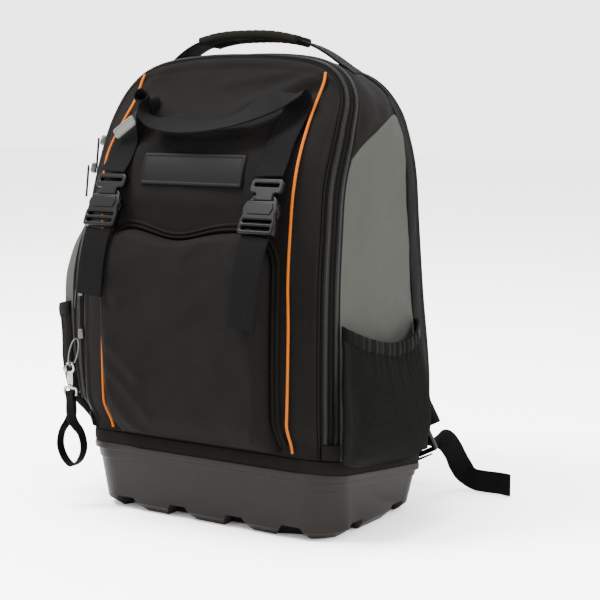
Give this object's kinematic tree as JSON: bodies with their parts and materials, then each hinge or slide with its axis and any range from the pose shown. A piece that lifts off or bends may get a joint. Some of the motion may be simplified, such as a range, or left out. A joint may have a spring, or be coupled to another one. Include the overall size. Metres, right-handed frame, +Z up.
{
  "type": "tool backpack",
  "caption": "Upright tool backpack on a moulded base, with an arched zipped body, front pocket, buckled straps, netting side pockets, top handle and shoulder straps.",
  "frame": {"origin": "middle of the flat sole of the moulded base, at the height it stands on", "axes": "+X to the viewer's right, -Y out of the front, +Y towards the wearer's back, +Z up"},
  "size_m": [0.443, 0.3424, 0.5108],
  "materials": {
    "cloth": "coarse black woven polyester",
    "grey_cloth": "grey woven polyester",
    "moulding": "warm dark grey moulded plastic, fine grain",
    "webbing": "black ribbed webbing and binding",
    "hard_plastic": "black moulded plastic, slight sheen",
    "rubber": "black soft rubber",
    "orange_cord": "orange piping cord",
    "netting": "black open netting",
    "zip_coil": "black coil zip on woven tape",
    "dark_metal": "dark plated metal",
    "grey_rubber": "silver-grey moulded rubber"
  },
  "bodies": {
    "bag": {"base_tub": "moulding", "base_binding": "webbing", "front_panel": "cloth", "back_panel": "cloth", "edge_strip": "cloth", "zip_front": "zip_coil", "front_gusset": "cloth", "zip_main": "zip_coil", "top_gusset": "cloth", "side_panel_left": "grey_cloth", "zip_end_left": "cloth", "piping_left": "orange_cord", "mesh_pocket_left": "netting", "mesh_band_left": "webbing", "buckle_clip_left": "hard_plastic", "buckle_housing_left": "hard_plastic", "strap_tail_left": "webbing", "handle_web_left": "webbing", "shoulder_strap_left": "cloth", "ladder_lock_left": "hard_plastic", "strap_end_left": "webbing", "anchor_web_left": "webbing", "side_panel_right": "grey_cloth", "zip_end_right": "cloth", "piping_right": "orange_cord", "mesh_pocket_right": "netting", "mesh_band_right": "webbing", "buckle_clip_right": "hard_plastic", "buckle_housing_right": "hard_plastic", "strap_tail_right": "webbing", "handle_web_right": "webbing", "shoulder_strap_right": "cloth", "ladder_lock_right": "hard_plastic", "strap_end_right": "webbing", "anchor_web_right": "webbing", "front_pocket": "cloth", "pocket_zip": "zip_coil", "label_plate": "rubber", "compression_strap": "webbing", "handle_grip": "webbing", "pull_tag": "grey_rubber", "slider_one": "dark_metal", "pull_one": "rubber", "slider_two": "dark_metal", "pull_two": "rubber", "slider_three": "dark_metal", "pull_three": "rubber", "slider_four": "dark_metal", "hook_link": "dark_metal", "hook_body": "dark_metal"},
    "gate": {"hook_gate": "dark_metal"},
    "eye": {"hook_eye": "dark_metal", "fob_loop": "webbing"}
  },
  "joints": [
    {"name": "gate_hinge", "type": "hinge", "parent": "bag", "child": "gate", "pos_m": [-0.16407, -0.121, 0.14965], "axis": [0, 1, 0], "range_deg": [0, 20], "stiffness_Nm_per_rad": 0.004, "springref_deg": -11.46},
    {"name": "hook_swivel", "type": "hinge", "parent": "bag", "child": "eye", "pos_m": [-0.158, -0.121, 0.136], "axis": [0, 0, 1], "range_deg": [-15, 15]}
  ]
}
